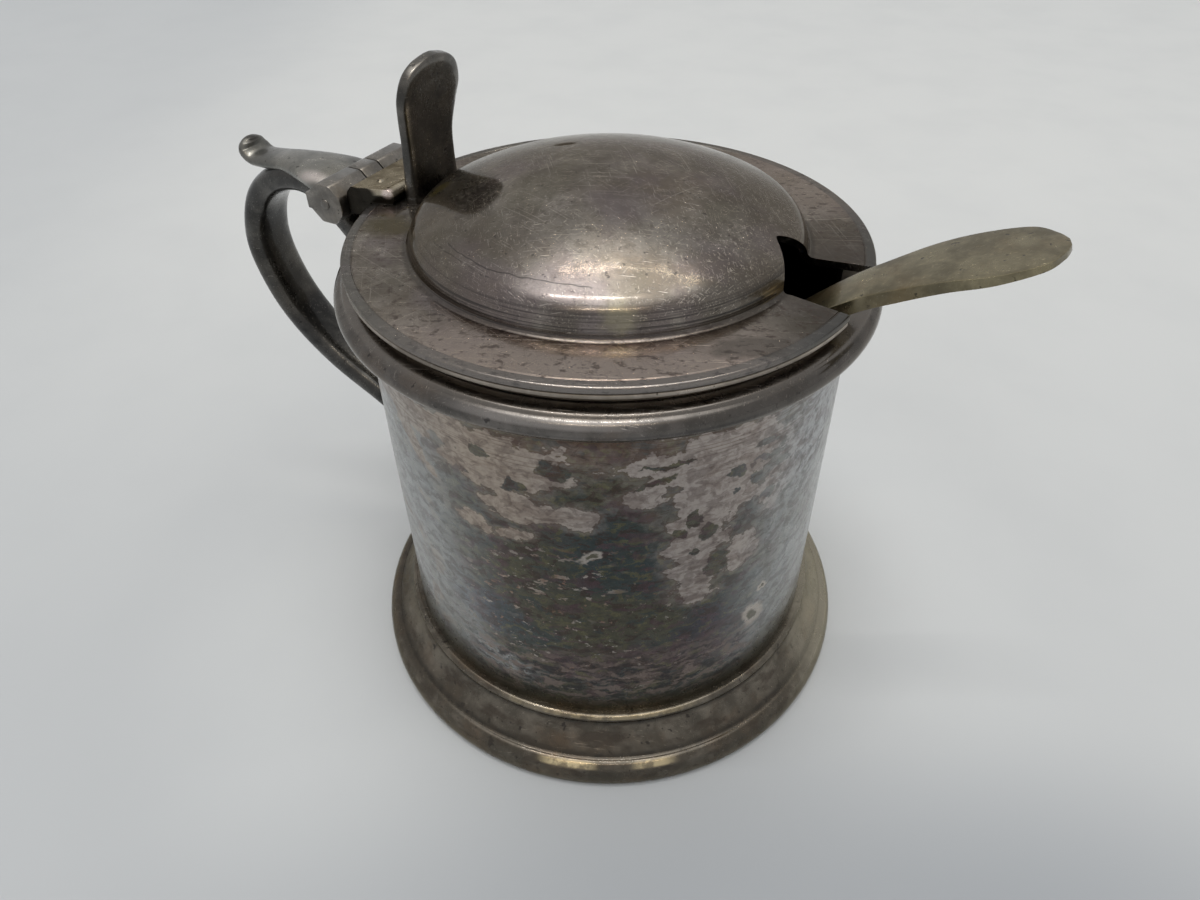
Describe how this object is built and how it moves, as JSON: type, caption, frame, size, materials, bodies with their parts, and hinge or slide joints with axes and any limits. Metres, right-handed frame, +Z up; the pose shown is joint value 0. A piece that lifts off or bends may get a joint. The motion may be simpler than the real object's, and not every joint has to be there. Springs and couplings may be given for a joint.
{
  "type": "mustard pot",
  "caption": "Drum mustard pot in tarnished silver plate with a domed hinged lid, thumbpiece, spoon notch, scroll handle, moulded foot, loose glass liner and spoon.",
  "frame": {"origin": "centre of the foot's ring, on the table that the pot stands on", "axes": "+Z up along the drum's axis, -X towards the hinge and handle, +X towards the spoon notch"},
  "size_m": [0.1077, 0.069, 0.0793],
  "materials": {
    "drum_silver": "satin",
    "foot_silver": "satin",
    "rim_silver": "satin",
    "lid_silver": "satin",
    "handle_silver": "satin",
    "hinge_silver": "satin",
    "inner_silver": "satin",
    "cobalt_glass": "gloss",
    "spoon_nickel": "satin"
  },
  "bodies": {
    "pot": {"drum_wall_shell": "drum_silver", "base_plate": "inner_silver", "foot_ring": "foot_silver", "rim_moulding": "rim_silver", "handle": "handle_silver", "handle_knuckle_near": "hinge_silver", "handle_knuckle_far": "hinge_silver", "hinge_pin": "hinge_silver"},
    "lid": {"lid_cover": "lid_silver", "lid_bezel": "inner_silver", "hinge_strap": "hinge_silver", "lid_knuckle": "hinge_silver", "thumbpiece": "hinge_silver"},
    "liner": {"glass_liner": "cobalt_glass"},
    "spoon": {"spoon": "spoon_nickel"}
  },
  "joints": [
    {"name": "lid_hinge", "type": "hinge", "parent": "pot", "child": "lid", "pos_m": [-0.0365, 0, 0.061], "axis": [0, -1, 0], "range_deg": [0, 105]},
    {"name": "liner_lift", "type": "slide", "parent": "pot", "child": "liner", "axis": [0, 0, 1], "range_m": [0, 0.0015]},
    {"name": "spoon_draw", "type": "slide", "parent": "liner", "child": "spoon", "axis": [0.6769, 0.1563, 0.7193], "range_m": [0, 0.03]}
  ]
}
